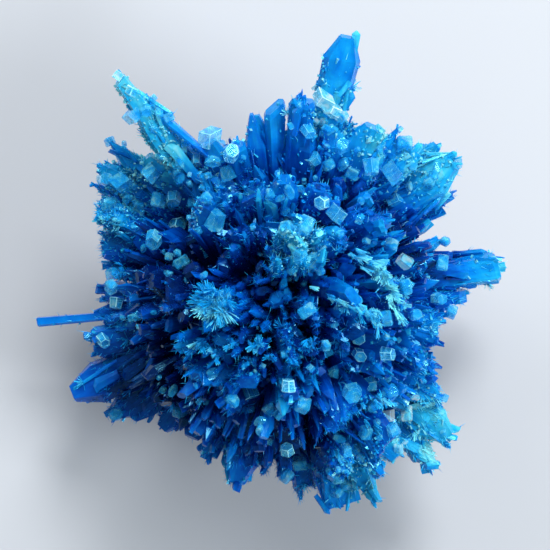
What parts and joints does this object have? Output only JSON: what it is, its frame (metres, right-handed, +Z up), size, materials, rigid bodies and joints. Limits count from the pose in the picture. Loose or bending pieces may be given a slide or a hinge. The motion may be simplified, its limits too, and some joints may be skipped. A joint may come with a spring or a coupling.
{
  "type": "pentagonite specimen",
  "caption": "Mineral specimen: a nearly round burst of blue crystal blades that radiate from one heart, dotted with small clear crystals and cut flat underneath to rest on a surface.",
  "frame": {"origin": "centre of the bounding box in X and Y, at the flat cut underneath that the specimen rests on", "axes": "+Z up, away from the flat cut and towards the showy side; +Y towards the long blade at the top of the face; +X to the right as seen from above"},
  "size_m": [0.0188, 0.019, 0.0129],
  "materials": {
    "blue_crystal": "vivid blue glassy crystal, deep cobalt in the recesses and pale azure to cyan at the tips, finely striated along its length",
    "clear_crystal": "colourless glassy crystal that takes up the blue of what is under it, with bright edges"
  },
  "bodies": {
    "root": {"pentagonite_cluster": "blue_crystal", "clear_crystal_01": "clear_crystal", "clear_crystal_02": "clear_crystal", "clear_crystal_03": "clear_crystal", "clear_crystal_04": "clear_crystal", "clear_crystal_05": "clear_crystal", "clear_crystal_06": "clear_crystal", "clear_crystal_07": "clear_crystal", "clear_crystal_08": "clear_crystal", "clear_crystal_09": "clear_crystal", "clear_crystal_10": "clear_crystal", "clear_crystal_11": "clear_crystal", "clear_crystal_12": "clear_crystal", "clear_crystal_13": "clear_crystal", "clear_crystal_14": "clear_crystal", "clear_crystal_15": "clear_crystal", "clear_crystal_16": "clear_crystal", "clear_crystal_17": "clear_crystal", "clear_crystal_18": "clear_crystal", "clear_crystal_19": "clear_crystal", "clear_crystal_20": "clear_crystal", "clear_crystal_21": "clear_crystal", "clear_crystal_22": "clear_crystal", "clear_crystal_23": "clear_crystal", "clear_crystal_24": "clear_crystal", "clear_crystal_25": "clear_crystal", "clear_crystal_26": "clear_crystal", "clear_crystal_27": "clear_crystal", "clear_crystal_28": "clear_crystal", "clear_crystal_29": "clear_crystal", "clear_crystal_30": "clear_crystal", "clear_crystal_31": "clear_crystal", "clear_crystal_32": "clear_crystal", "clear_crystal_33": "clear_crystal", "clear_crystal_34": "clear_crystal", "clear_crystal_35": "clear_crystal", "clear_crystal_36": "clear_crystal", "clear_crystal_37": "clear_crystal", "clear_crystal_38": "clear_crystal", "clear_crystal_39": "clear_crystal", "clear_crystal_40": "clear_crystal", "clear_crystal_41": "clear_crystal", "clear_crystal_42": "clear_crystal", "clear_crystal_43": "clear_crystal", "clear_crystal_44": "clear_crystal"}
  },
  "joints": []
}
